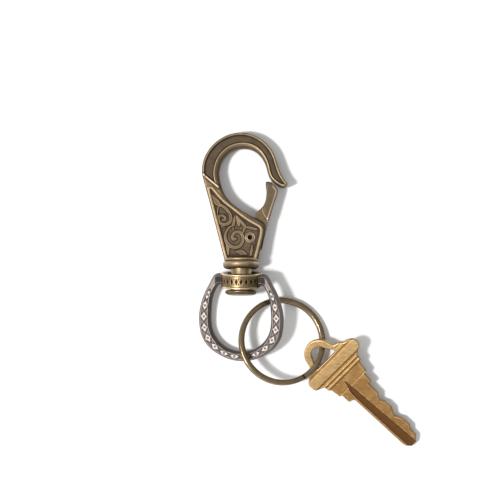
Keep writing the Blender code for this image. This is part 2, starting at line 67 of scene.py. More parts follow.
# --- Sizes, in millimetres ----------------------------
FINE = 0.17  # spacing of the relief's points
EDGE_ROWS = (0.06, 0.17, 0.31)  # distances from an edge of the rows of points that follow it
SHARP_ANGLE = 55.0  # degrees
ON_FACE = 0.03  # a point further than this below the relief is on a wall
HOOK_FACE, HOOK_PLAIN, HOOK_FLOOR, PANEL_FLOOR = 3.2, 2.95, 2.72, 2.5  # heights above the hook's middle plane
SLOT_HALF_WIDTH = 1.6
HOOK_EDGE, CHEEK_EDGE = 0.6, 0.45
# The values for the gate's slot and for the inner wall of the hook's opening are painted shade.
SIDE_WEAR, WALL_WEAR, SLOT_SHADE, INNER_WALL_SHADE = 0.3, 0.4, 0.05, 0.2
PIN_HOLE_RADIUS, PIN_CLEARANCE = 1.4, 0.12
FLANGE_RADIUS, FLANGE_LOW, FLANGE_HIGH = 6.7, 4.1, 8.2
GATE_HALF, TONGUE_HALF, HUB_RADIUS = 2.3, 1.4, 3.3
PIN_RADIUS, PIN_BORE, PIN_BORE_DEPTH, PIN_HALF_LENGTH = 1.35, 0.9, 1.8, 2.85
SPRING_WIRE, SPRING_RADIUS, SPRING_TURNS = 0.4, 1.85, 2
LOW_LEG, HIGH_LEG, SPRING_ROOM_HALF = 3.2, 3.6, 0.85
POST_RADIUS, POST_HEAD_RADIUS, POST_HEAD_LOW, POST_HEAD_HIGH = 3.9, 5.9, -5.7, -3.5
BARREL_RADIUS, BARREL_BORE, BARREL_HALF, BARREL_RIM, BARREL_BAND = 7.5, 4.6, 2.7, 0.6, 0.25
LOZENGES, LOZENGE_WIDE, LOZENGE_HIGH, DOT_RADIUS, DOT_HEIGHT, ENGRAVED = 24, 0.62, 1.45, 0.24, 0.95, 0.14
SHACKLE_HALF, SHACKLE_SLOPE, SHACKLE_DROP = 2.1, 0.85, 1.6
DIAMOND_COUNT, DIAMOND_PITCH, DIAMOND_LONG, DIAMOND_WIDE = 16, 4.15, 2.2, 1.35
RING_RADIUS, RING_TILT, RING_TILT_DIRECTION, KEY_ON_RING = 15.35, 15.4, 45.0, -19.0
WIRE_WIDTH, WIRE_HEIGHT, WIRE_PITCH = 2.05, 1.28, 1.36
WIRE_START, JOG_START, JOG_END, WIRE_END = -22.0, 302.0, 334.0, 661.0  # degrees round the ring
WIRE_STEPS, WIRE_SIDES = 460, 28
KEY_HALF, KEY_STOP_X, KEY_STOP_Y, KEY_WALL_WEAR = 1.0, 26.4, 5.2, 0.32
CAMERA_HEIGHT, CAMERA_SPAN, CAMERA_X, CAMERA_Y = 640.0, 185.0, -21.3, 14.7
OBJECT_MIDDLE = 6.0  # the height that the camera's distance is taken from

# --- Light and floor, in metres and watts -------------
ROOM_DIM, ROOM_BRIGHT, ROOM_TOP = 0.12, 0.82, (-0.35, -0.1, 1.0)
LIGHT_AT, LIGHT_TARGET, LIGHT_SIZE, LIGHT_POWER = (-0.95, -0.2, 1.75), (-0.02, 0, 0), 0.25, 35.0
FLOOR_HALF = 1.5

# --- Lines of the design, in millimetres --------------
# Hook: x towards the gate, y towards the crown, from the swivel's centre.
HOOK_OUTER = [
    (-12.2, 30.8), (-13.6, 35.9), (-14.5, 40.0), (-14.0, 44.0), (-12.3, 47.7), (-9.2, 51.2),
    (-4.9, 53.7), (-0.1, 54.6), (4.4, 53.75), (7.9, 51.8), (10.7, 49.0), (12.4, 46.0), (13.4, 43.0),
    (14.4, 40.0), (15.6, 37.6), (16.9, 36.0),
]
HOOK_NOSE = [(16.9, 36.0), (17.1, 35.2), (16.5, 34.4), (15.4, 34.3)]
HOOK_INNER = [
    (15.4, 34.3), (13.8, 35.0), (12.3, 36.1), (10.9, 37.6), (10.0, 39.6), (9.2, 42.5), (8.0, 45.0),
    (6.3, 47.0), (4.0, 48.35), (1.4, 48.8), (-1.6, 48.4), (-4.4, 47.0), (-6.8, 44.2), (-7.9, 41.0),
    (-8.0, 38.2), (-7.3, 34.8), (-5.8, 31.2), (-3.0, 27.9), (1.6, 24.7), (5.4, 22.5),
]
HOOK_CHEEK = [(5.4, 22.5), (7.6, 21.2), (8.4, 20.2), (8.5, 18.8), (6.4, 7.7)]
HOOK_FOOT = [(-6.2, 7.7), (-12.2, 30.8)]
INNER_ROUNDING = [0.4, 0.45, 0.8, 1.55, 1.7, 1.7, 1.3, 0.6, 0.5]  # radius along the inner line, nose to cheek
RIDGE = [(-14.0, 39.0), (-8.3, 34.2)]
SLOT = [
    (14.0, 30.0), (14.0, 9.6), (5.4, 9.6), (4.6, 11.4), (1.0, 12.0), (-0.6, 14.0), (-0.8, 17.4),
    (-2.2, 22.0), (-3.0, 30.0),
]
BORDER = [
    (-5.45, 8.0), (-8.75, 21.0), (-11.8, 32.8), (-11.6, 33.8), (-10.8, 33.9), (-9.8, 32.8),
    (-7.9, 30.6), (-5.8, 28.5), (-2.5, 25.9), (0.45, 23.6), (3.2, 21.7), (5.9, 20.2), (7.1, 19.3),
    (7.45, 18.2), (6.95, 15.3), (5.1, 8.0),
]
# Scrollwork on the panel: each line with its half-widths from end to end.
SCROLLS = [
    ([(-11.2, 31.9), (-10.0, 29.8), (-8.5, 28.2), (-7.3, 27.3)], [0.15, 0.7, 0.95, 0.4]),
    ([(-7.3, 27.5), (-5.8, 26.5), (-4.6, 25.0), (-3.8, 23.4), (-3.9, 21.7), (-5.0, 20.65), (-6.4, 20.3),
      (-7.8, 20.95), (-8.3, 22.3), (-7.9, 23.5), (-6.9, 23.7), (-5.8, 22.95), (-5.9, 22.1), (-6.7, 22.0)],
     [0.45, 0.6, 0.5, 0.38]),
    ([(-7.3, 27.5), (-8.3, 26.7), (-8.7, 25.0), (-8.6, 23.4)], [0.25, 0.3, 0.22]),
    ([(-2.9, 20.0), (-4.4, 19.2), (-5.5, 17.5), (-5.8, 15.6), (-5.3, 13.8), (-3.9, 12.4), (-2.3, 11.9),
      (-0.6, 12.3), (0.55, 13.8), (0.75, 15.6), (0.0, 17.2), (-1.4, 17.7), (-2.8, 17.0), (-3.2, 15.6),
      (-2.7, 14.8), (-2.0, 15.1)],
     [0.3, 0.62, 0.55, 0.5]),
    ([(-2.2, 23.8), (-2.5, 22.1), (-2.8, 20.2)], [0.2, 0.5, 0.5]),
    ([(-1.8, 23.6), (-1.2, 21.9), (-0.7, 20.2)], [0.2, 0.5, 0.5]),
    ([(-1.5, 23.6), (-0.2, 21.7), (1.4, 19.8), (1.2, 18.6), (0.8, 17.6)], [0.2, 0.5, 0.55, 0.3]),
    ([(-2.9, 19.2), (-2.8, 18.1)], [0.28, 0.2]),
    ([(2.5, 19.4), (5.6, 18.55)], [0.5, 0.45]),
    ([(4.1, 12.7), (3.9, 10.8), (3.6, 9.0)], [0.3, 0.5, 0.35]),
    ([(-2.1, 10.4), (0.1, 10.1), (2.2, 9.3)], [0.15, 0.95, 0.25]),
    ([(-5.5, 13.2), (-4.9, 11.5), (-4.6, 9.2)], [0.2, 0.6, 0.3]),
    ([(-7.4, 19.6), (-5.6, 19.2)], [0.25, 0.2]),
]
# Gate, in the hook's frame: the thick blade outside the slot, and the thin tongue inside it.
GATE_BLADE = [
    (9.1, 35.9), (9.8, 36.3), (10.6, 36.2), (12.3, 34.8), (13.5, 33.1), (13.3, 31.6), (11.7, 26.6),
    (10.2, 22.2), (9.1, 22.5), (7.9, 24.2), (7.4, 26.2), (8.2, 27.3), (9.1, 29.6), (9.4, 32.8),
]
GATE_TONGUE = [(9.0, 28.0), (10.9, 24.2), (9.9, 21.0), (8.9, 16.8), (7.6, 11.4), (6.4, 10.6), (5.6, 11.6)]
GATE_TONGUE_LEFT = [(5.0, 22.4), (5.3, 24.7), (6.6, 25.8)]
# Shackle, right half: x across, y towards the hook.
SHACKLE_OUTER = [
    (6.9, 2.3), (9.0, 2.3), (10.4, 1.4), (12.0, -1.5), (13.9, -5.2), (15.15, -8.6), (15.9, -12.0),
    (16.1, -15.0), (15.8, -18.2), (15.0, -21.4), (13.0, -24.6), (9.9, -27.2), (6.1, -29.1),
    (2.7, -30.0), (0.0, -30.2),
]
SHACKLE_INNER = [
    (6.9, -1.9), (8.3, -1.9), (9.3, -3.1), (10.4, -5.5), (11.1, -8.3), (11.4, -11.2), (11.5, -14.4),
    (11.2, -17.8), (10.2, -20.6), (8.4, -23.1), (6.0, -25.0), (3.1, -26.2), (0.0, -26.5),
]
# Key: x from the loop's end towards the tip, y towards the cuts.
KEY_LOOP_RADIUS, KEY_LOOP_WIDTH, KEY_HOLE_END, KEY_HOLE_HALF_WIDTH = 5.8, 2.6, 9.1, 5.1
KEY_BOW_BACK = [
    (6.8, -6.3), (7.4, -7.8), (8.9, -8.8), (9.5, -9.9), (10.3, -11.2), (11.3, -11.8), (13.5, -11.8),
    (14.5, -11.2), (15.1, -9.4), (15.6, -8.2), (17.8, -8.0), (18.2, -7.2), (22.2, -6.8), (22.4, -5.8),
    (25.7, -5.9), (26.4, -5.3),
]
KEY_BOW_FRONT = [
    (6.8, 6.3), (7.5, 8.3), (8.9, 10.0), (9.4, 11.6), (9.9, 12.7), (10.7, 13.4), (11.8, 13.8),
    (12.9, 13.7), (13.8, 13.1), (14.4, 12.2), (14.8, 11.2), (15.6, 9.8), (17.8, 9.4), (18.2, 8.2),
    (22.2, 7.6), (22.4, 6.3), (26.4, 6.1),
]
KEY_BACK = -3.65
KEY_CUT_EDGE = [
    (26.4, 4.5), (31.2, 4.4), (32.7, 3.0), (33.7, 3.0), (35.4, 3.8), (38.6, 3.8), (40.8, 2.4),
    (42.0, 2.4), (44.0, 3.5), (48.0, 3.6), (49.8, 2.4), (52.2, 2.4), (54.3, 0.4), (54.4, -1.9),
    (52.6, -3.4),
]
KEY_GROOVE = [
    (18.8, -0.8), (23.8, -2.5), (28.3, -2.8), (56.0, -2.8), (56.0, 0.9), (53.6, 0.9), (35.4, 0.1),
    (24.6, -0.3),
]
KEY_BARS = [(10.2, 14.4), (15.2, 16.2), (16.7, 17.7)]
KEY_STEP_LINE = 22.1


# --- Lines and distances ------------------------------
def smooth_through(points, per_span=8, closed=False):
    """A Catmull-Rom curve through the points, as an array."""
    points = [np.array(p, float) for p in points]
    padded = [points[-1], *points, points[0], points[1]] if closed else [points[0], *points, points[-1]]
    curve = []
    for a, b, c, d in zip(padded, padded[1:], padded[2:], padded[3:]):
        for step in range(per_span):
            t = step / per_span
            square, cube = 2 * a - 5 * b + 4 * c - d, 3 * b - 3 * c + d - a
            curve.append(0.5 * (2 * b + (c - a) * t + square * t * t + cube * t**3))
    if not closed:
        curve.append(points[-1])
    return np.array(curve)


def arc(centre, radius, start, end, steps):
    """Points on an arc, angles in degrees."""
    angles = np.radians(np.linspace(start, end, steps + 1))
    return np.stack([centre[0] + radius * np.cos(angles), centre[1] + radius * np.sin(angles)], axis=1)


def even_steps(outline, spacing):
    """The closed outline with its corners kept, and points added so that none are farther apart."""
    result = []
    for start, end in zip(outline, np.roll(outline, -1, axis=0)):
        length = np.hypot(*(end - start))
        if length < 1e-6:
            continue
        count = max(1, math.ceil(length / spacing))
        result += [start + (end - start) * i / count for i in range(count)]
    return np.array(result)


def distance(points, line, closed=False):
    """Each point's distance to the line, and how far along it, from 0 to 1, the nearest place is."""
    line = np.asarray(line, float)
    starts = line if closed else line[:-1]
    ends = np.roll(line, -1, axis=0) if closed else line[1:]
    spans = ends - starts
    lengths = np.hypot(spans[:, 0], spans[:, 1])
    starts, spans, lengths = starts[lengths > 1e-9], spans[lengths > 1e-9], lengths[lengths > 1e-9]
    before = np.concatenate([[0.0], np.cumsum(lengths)])
    nearest, along = np.empty(len(points)), np.empty(len(points))
    for first in range(0, len(points), 4000):
        part = points[first:first + 4000, None, :] - starts[None]
        t = np.clip((part * spans).sum(-1) / lengths**2, 0, 1)
        gap = np.hypot(*(np.moveaxis(part - t[..., None] * spans, -1, 0)))
        best = gap.argmin(1)
        rows = np.arange(len(best))
        nearest[first:first + 4000] = gap[rows, best]
        along[first:first + 4000] = (before[best] + t[rows, best] * lengths[best]) / before[-1]
    return nearest, along


def inside(points, polygon):
    """Which points lie inside the closed polygon."""
    x, y = points[:, 0:1], points[:, 1:2]
    a, b = polygon, np.roll(polygon, -1, axis=0)
    crosses = (a[:, 1] > y) != (b[:, 1] > y)
    rise = np.where(a[:, 1] == b[:, 1], 1e-12, b[:, 1] - a[:, 1])
    return ((x < (b[:, 0] - a[:, 0]) * (y - a[:, 1]) / rise + a[:, 0]) & crosses).sum(1) % 2 == 1


def depth_inside(points, polygon):
    """Distance to the polygon's edge: positive inside, negative outside."""
    return distance(points, polygon, closed=True)[0] * np.where(inside(points, polygon), 1, -1)


def ramp(value, low, high):
    """Rises smoothly from 0 at low to 1 at high."""
    t = np.clip((value - low) / (high - low), 0, 1)
    return t * t * (3 - 2 * t)


def bead(gap, half_width):
    """A round bead's height, from 0 at its edges to 1 on its line."""
    return np.sqrt(np.clip(1 - (gap / half_width) ** 2, 0, 1))


def rounding(gap, radius):
    """How far an edge of that radius has risen, from 0 at the edge to 1 inside."""
    return np.sqrt(np.clip(1 - (1 - np.clip(gap / radius, 0, 1)) ** 2, 0, 1))


# --- Meshes -------------------------------------------
def raw(name, points, faces):
    """A mesh object still in its part's own millimetres."""
    mesh = bpy.data.meshes.new(name)
    mesh.from_pydata(np.asarray(points, float).tolist(), [], faces)
    obj = bpy.data.objects.new(name, mesh)
    bpy.context.scene.collection.objects.link(obj)
    return obj


def make(name, points, faces, matrix, wear_and_shading):
    """A finished mesh object with its faces turned outwards, from points in a part's own millimetres."""
    obj = raw(name, points, faces)
    shape = bmesh.new()
    shape.from_mesh(obj.data)
    bmesh.ops.recalc_face_normals(shape, faces=shape.faces)
    shape.to_mesh(obj.data)
    shape.free()
    finish_mesh(obj, matrix, wear_and_shading)
    return obj


def finish_mesh(obj, matrix, wear_and_shading):
    """Stores the wear with its painted shade and highlights, moves the mesh to its place and shades it
    smooth.
    """
    mesh = obj.data
    store = mesh.attributes.new("wear_and_shading", "FLOAT", "POINT")
    store.data.foreach_set("value", np.ascontiguousarray(wear_and_shading, np.float32))
    mesh.transform(matrix @ Matrix.Scale(MM, 4))
    mesh.shade_smooth()
    mesh.set_sharp_from_angle(angle=math.radians(SHARP_ANGLE))


def vertices(obj):
    """The mesh's points as an array."""
    flat = np.empty(len(obj.data.vertices) * 3)
    obj.data.vertices.foreach_get("co", flat)
    return flat.reshape(-1, 3)


def fill(outline, holes):
    """Fine triangles inside a closed outline, with rows of points that follow each edge.

    Gives the points, the triangles and the loops of edge points.
    """
    loops = [even_steps(line, FINE) for line in (outline, *holes)]
    low, high = loops[0].min(0), loops[0].max(0)
    row_height = FINE * math.sqrt(3) / 2
    grid = []
    for r in range(int((high[1] - low[1]) / row_height) + 1):
        x = np.arange(low[0] + (r % 2) * FINE / 2, high[0], FINE)
        grid.append(np.stack([x, np.full(len(x), low[1] + (r + 0.5) * row_height)], axis=1))
    grid = np.concatenate(grid)
    clear = EDGE_ROWS[-1] + FINE * 0.6
    grid = grid[depth_inside(grid, loops[0]) > clear]
    for hole in loops[1:]:
        grid = grid[depth_inside(grid, hole) < -clear]
    extra = [grid]
    for number, loop in enumerate(loops):
        turn = 1 if (signed_area(loop) > 0) == (number == 0) else -1
        along = np.roll(loop, -1, axis=0) - np.roll(loop, 1, axis=0)
        inward = np.stack([-along[:, 1], along[:, 0]], axis=1) * turn / np.hypot(*along.T)[:, None]
        for row in EDGE_ROWS:
            moved = loop + inward * row
            room = np.ones(len(moved), bool)
            for other in loops:
                room &= distance(moved, other, closed=True)[0] > row * 0.97
            extra.append(moved[room])
    points = np.concatenate([*loops, *extra])
    edges, loop_indices, first = [], [], 0
    for loop in loops:
        loop_indices.append(list(range(first, first + len(loop))))
        edges += [(first + i, first + (i + 1) % len(loop)) for i in range(len(loop))]
        first += len(loop)
    result = delaunay_2d_cdt([Vector(p) for p in points], edges, [], 1, 1e-5)
    places, triangles, originals = np.array([tuple(v) for v in result[0]]), result[2], result[3]
    new_index = {old: new for new, olds in enumerate(originals) for old in olds}
    loop_indices = [[new_index[i] for i in loop] for loop in loop_indices]
    middles = places[np.array(triangles)].mean(1)
    keep = inside(middles, loops[0])
    for hole in loops[1:]:
        keep &= ~inside(middles, hole)
    return places, [t for t, k in zip(triangles, keep) if k], loop_indices


def relief_plate(name, outline, relief, holes=()):
    """A plate, in millimetres, with the same relief on both faces; the relief gives its half thickness."""
    places, triangles, loops = fill(outline, holes)
    count = len(places)
    half = relief(places)[0]
    points = np.concatenate([np.column_stack([places, half]), np.column_stack([places, -half])])
    faces = [tuple(t) for t in triangles] + [tuple(count + i for i in reversed(t)) for t in triangles]
    for number, loop in enumerate(loops):
        ordered = loop if (signed_area(places[loop]) > 0) == (number == 0) else loop[::-1]
        for a, b in zip(ordered, ordered[1:] + ordered[:1]):
            faces.append((b, a, count + a, count + b))
    return raw(name, points, faces)


def prism(name, outline, low, high):
    """A plain extruded outline in millimetres: a cutter, or the gate's tongue."""
    outline = np.asarray(outline, float)
    if signed_area(outline) < 0:
        outline = outline[::-1]
    count = len(outline)
    points = np.concatenate([np.column_stack([outline, np.full(count, z)]) for z in (low, high)])
    sides = [(i, (i + 1) % count, count + (i + 1) % count, count + i) for i in range(count)]
    return raw(name, points, [tuple(reversed(range(count))), tuple(range(count, 2 * count)), *sides])


def combine(target, other, operation):
    """Applies a Boolean and removes the other object."""
    modifier = target.modifiers.new("shape", "BOOLEAN")
    modifier.operation, modifier.solver, modifier.object = operation, "MANIFOLD", other
    graph = bpy.context.evaluated_depsgraph_get()
    result = bpy.data.meshes.new_from_object(target.evaluated_get(graph))
    target.modifiers.clear()
    target.data = result
    bpy.data.objects.remove(other)


def signed_area(loop):
    """Positive for an anticlockwise loop."""
    x, y = loop[:, 0], loop[:, 1]
    return 0.5 * np.sum(x * np.roll(y, -1) - np.roll(x, -1) * y)


def turned(name, profile, matrix, detail, steps, closed=True):
    """A profile of (radius, y) turned about the y axis.

    detail(angle, profile) gives how far the surface moves outwards there, and its wear with any painted shade
    and highlights.
    """
    profile = np.asarray(profile, float)
    angles = np.arange(steps) * 2 * math.pi / steps
    rings = []
    for a in angles:
        radius = profile[:, 0] + detail(a, profile)[0]
        rings.append(np.stack([radius * math.cos(a), profile[:, 1], radius * math.sin(a)], axis=1))
    count = len(profile)
    points = np.concatenate(rings)
    wear_and_shading = np.concatenate([detail(a, profile)[1] for a in angles])
    faces = []
    for s in range(steps):
        first, second = s * count, (s + 1) % steps * count
        for i in range(count if closed else count - 1):
            j = (i + 1) % count
            faces.append((first + i, second + i, second + j, first + j))
    if not closed:
        low, high = len(points), len(points) + 1
        points = np.concatenate([points, [[0, profile[0, 1], 0], [0, profile[-1, 1], 0]]])
        wear_and_shading = np.append(wear_and_shading, [wear_and_shading[0], wear_and_shading[count - 1]])
        for s in range(steps):
            first, second = s * count, (s + 1) % steps * count
            faces.append((low, second, first))
            faces.append((high, first + count - 1, second + count - 1))
    return make(name, points, faces, matrix, wear_and_shading)


def tube(name, path, section, matrix, wear_and_shading):
    """Skins a section along a path, and closes both ends."""
    rings = []
    for i in range(len(path)):
        ahead, behind = path[min(i + 1, len(path) - 1)], path[max(i - 1, 0)]
        along = (ahead - behind) / np.linalg.norm(ahead - behind)
        across = np.cross(along, [0.0, 0.0, 1.0])
        across /= np.linalg.norm(across)
        up = np.cross(across, along)
        rings.append(path[i] + section[:, :1] * across + section[:, 1:] * up)
    count = len(rings[0])
    points = np.concatenate(rings)
    faces = []
    for r in range(len(rings) - 1):
        for k in range(count):
            j = (k + 1) % count
            faces.append((r * count + k, (r + 1) * count + k, (r + 1) * count + j, r * count + j))
    last = len(points) - count
    faces += [tuple(reversed(range(count))), tuple(last + k for k in range(count))]
    return make(name, points, faces, matrix, np.full(len(points), wear_and_shading))


# --- Frames of the parts ------------------------------
def axes(origin, x, y, z):
    """A matrix from an origin and three unit axes."""
    return Matrix([[x[i], y[i], z[i], origin[i]] for i in range(3)] + [[0, 0, 0, 1]])


def hook_frame():
    """x towards the gate, y towards the crown, from the swivel's centre."""
    z = Vector(JOINTS["gate_pivot"]["axis"]).normalized()
    x = Vector((1, 0, 0))
    return axes(JOINTS["swivel_spin"]["pos_m"], x, z.cross(x), z)


def shackle_frame():
    """y along the swivel, x across the bar."""
    y = Vector(JOINTS["swivel_spin"]["axis"]).normalized()
    across = Vector(JOINTS["ring_swing"]["axis"])
    x = (across - y * across.dot(y)).normalized()
    return axes(JOINTS["swivel_spin"]["pos_m"], x, y, x.cross(y))


def ring_frame():
    """z through the ring's middle, found from where the key hangs."""
    direction = math.radians(RING_TILT_DIRECTION)
    lean_axis = Vector((-math.sin(direction), math.cos(direction), 0))
    lean = Matrix.Rotation(math.radians(RING_TILT), 4, lean_axis)
    at_key = math.radians(KEY_ON_RING)
    out = lean @ Vector((math.cos(at_key), math.sin(at_key), 0))
    centre = Vector(JOINTS["key_swing"]["pos_m"]) - out * RING_RADIUS * MM
    return Matrix.Translation(centre) @ lean


def key_frame():
    """x along the blade, z out of the bow's face, found from the shoulder that meets the lock."""
    z = Vector(MOUNTS["key_bow_face"]["axis"]).normalized()
    x = Vector(MOUNTS["key_stop"]["axis"]).normalized()
    y = z.cross(x)
    stop = Vector(MOUNTS["key_stop"]["pos_m"])
    return axes(stop - (x * KEY_STOP_X + y * KEY_STOP_Y) * MM, x, y, z)


HOOK_AT, SHACKLE_AT, RING_AT, KEY_AT = hook_frame(), shackle_frame(), ring_frame(), key_frame()
PIN = np.array((HOOK_AT.inverted() @ Vector(JOINTS["gate_pivot"]["pos_m"])) / MM)[:2]
PIN_AT = HOOK_AT @ Matrix.Translation(Vector((*PIN, 0)) * MM)


# --- Materials ----------------------------------------
def srgb(red, green, blue):
    """A colour given in 0 to 255, as the shader needs it."""
    def linear(value):
        value /= 255
        return value / 12.92 if value <= 0.04045 else ((value + 0.055) / 1.055) ** 2.4
    return (linear(red), linear(green), linear(blue), 1.0)


def aged_metal(name, stops, rough, metallic=(0.6, 1.0), mottle=420.0, grain=3200.0, brushed=None,
               blotch=0.30, speckle=0.22):
    """Metal whose colour, roughness and metal share follow the wear and its painted shade and highlights,
    broken up by mottling and grain.

    stops, rough and metallic go from wear 0 to 1. mottle and grain are noise scales, and blotch and speckle
    say how much they shift the wear. brushed gives the fine lines' rotation, stretch and scale.
    """
    material = bpy.data.materials.new(name)
    material.use_nodes = True
    tree = material.node_tree
    shader = tree.nodes["Principled BSDF"]

    def node(kind, **settings):
        made = tree.nodes.new("ShaderNode" + kind)
        for key, value in settings.items():
            setattr(made, key, value)
        return made

    def noise(scale, detail, stretch=None):
        source = coordinates.outputs["Object"]
        if stretch:
            mapping = node("Mapping")
            tree.links.new(source, mapping.inputs["Vector"])
            mapping.inputs["Rotation"].default_value = stretch[0]
            mapping.inputs["Scale"].default_value = stretch[1]
            source = mapping.outputs["Vector"]
        made = node("TexNoise")
        tree.links.new(source, made.inputs["Vector"])
        made.inputs["Scale"].default_value = scale
        made.inputs["Detail"].default_value = detail
        made.inputs["Roughness"].default_value = 0.6
        return made.outputs["Fac"]

    def maths(operation, a, b):
        made = node("Math", operation=operation)
        for socket, value in zip(made.inputs, (a, b)):
            if isinstance(value, (int, float)):
                socket.default_value = value
            else:
                tree.links.new(value, socket)
        return made.outputs[0]

    coordinates = node("TexCoord")
    wear_and_shading = node("Attribute", attribute_name="wear_and_shading").outputs["Fac"]
    large, small = noise(mottle, 5), noise(grain, 4)
    lines = noise(brushed[2], 3, brushed[:2]) if brushed else small
    worn_and_shaded = maths("ADD", wear_and_shading, maths("MULTIPLY", maths("SUBTRACT", large, 0.5), blotch))
    worn_and_shaded = maths("ADD", worn_and_shaded, maths("MULTIPLY", maths("SUBTRACT", lines, 0.5), speckle))
    ramp_node = node("ValToRGB")
    colours = ramp_node.color_ramp.elements
    while len(colours) < len(stops):
        colours.new(0.5)
    for element, (position, colour) in zip(colours, stops):
        element.position = position
        element.color = srgb(*colour)
    tree.links.new(worn_and_shaded, ramp_node.inputs["Fac"])
    tree.links.new(ramp_node.outputs["Color"], shader.inputs["Base Color"])

    def spread(value, low, high):
        made = node("MapRange")
        tree.links.new(value, made.inputs["Value"])
        made.inputs["To Min"].default_value = low
        made.inputs["To Max"].default_value = high
        return made.outputs["Result"]

    tree.links.new(spread(worn_and_shaded, *metallic), shader.inputs["Metallic"])
    uneven = maths("MULTIPLY", maths("SUBTRACT", lines, 0.5), 0.25)
    tree.links.new(maths("ADD", spread(worn_and_shaded, *rough), uneven), shader.inputs["Roughness"])
    bump = node("Bump")
    bump.inputs["Strength"].default_value = 0.25
    bump.inputs["Distance"].default_value = 0.2 * MM
    tree.links.new(maths("ADD", maths("MULTIPLY", large, 0.6), lines), bump.inputs["Height"])
    tree.links.new(bump.outputs["Normal"], shader.inputs["Normal"])
    return material


def finish_piece(obj, material, body, slot, *nodes):
    """Gives the piece its material, ties it to its body when it has one and hides the imported parts that it
    stands in for.
    """
    obj.data.materials.clear()
    obj.data.materials.append(material)
    if body:
        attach(obj, body)
    if nodes:
        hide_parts(*nodes)
    return obj


# --- Hook ---------------------------------------------
OUTER_LINE = np.concatenate([smooth_through(HOOK_OUTER), smooth_through(HOOK_NOSE)[1:]])
INNER_LINE = smooth_through(HOOK_INNER)
CHEEK_LINE = np.array(HOOK_CHEEK)
FOOT_LINE = np.array(HOOK_FOOT)
HOOK_OUTLINE = np.concatenate([FOOT_LINE[:1], OUTER_LINE, INNER_LINE[1:], CHEEK_LINE[1:]])
BORDER_LINE = smooth_through(BORDER)
SCROLL_LINES = [(smooth_through(line), widths) for line, widths in SCROLLS]


def ribbon(points, line, widths, rise, edge=0.22, hollow=0.12):
    """A raised ribbon with rounded edges and a slightly hollow middle.

    Gives how much it stands up, its rubbed share and each point's distance outside it.
    """
    gap, along = distance(points, line)
    half = np.interp(along, np.linspace(0, 1, len(widths)), widths) * 1.12
    up = rounding(half - gap, edge) * (gap < half)
    dip = ramp(half - gap, edge, edge + 0.25) * hollow
    return up * rise * (1 - dip), up * (1 - 3.5 * dip), gap - half


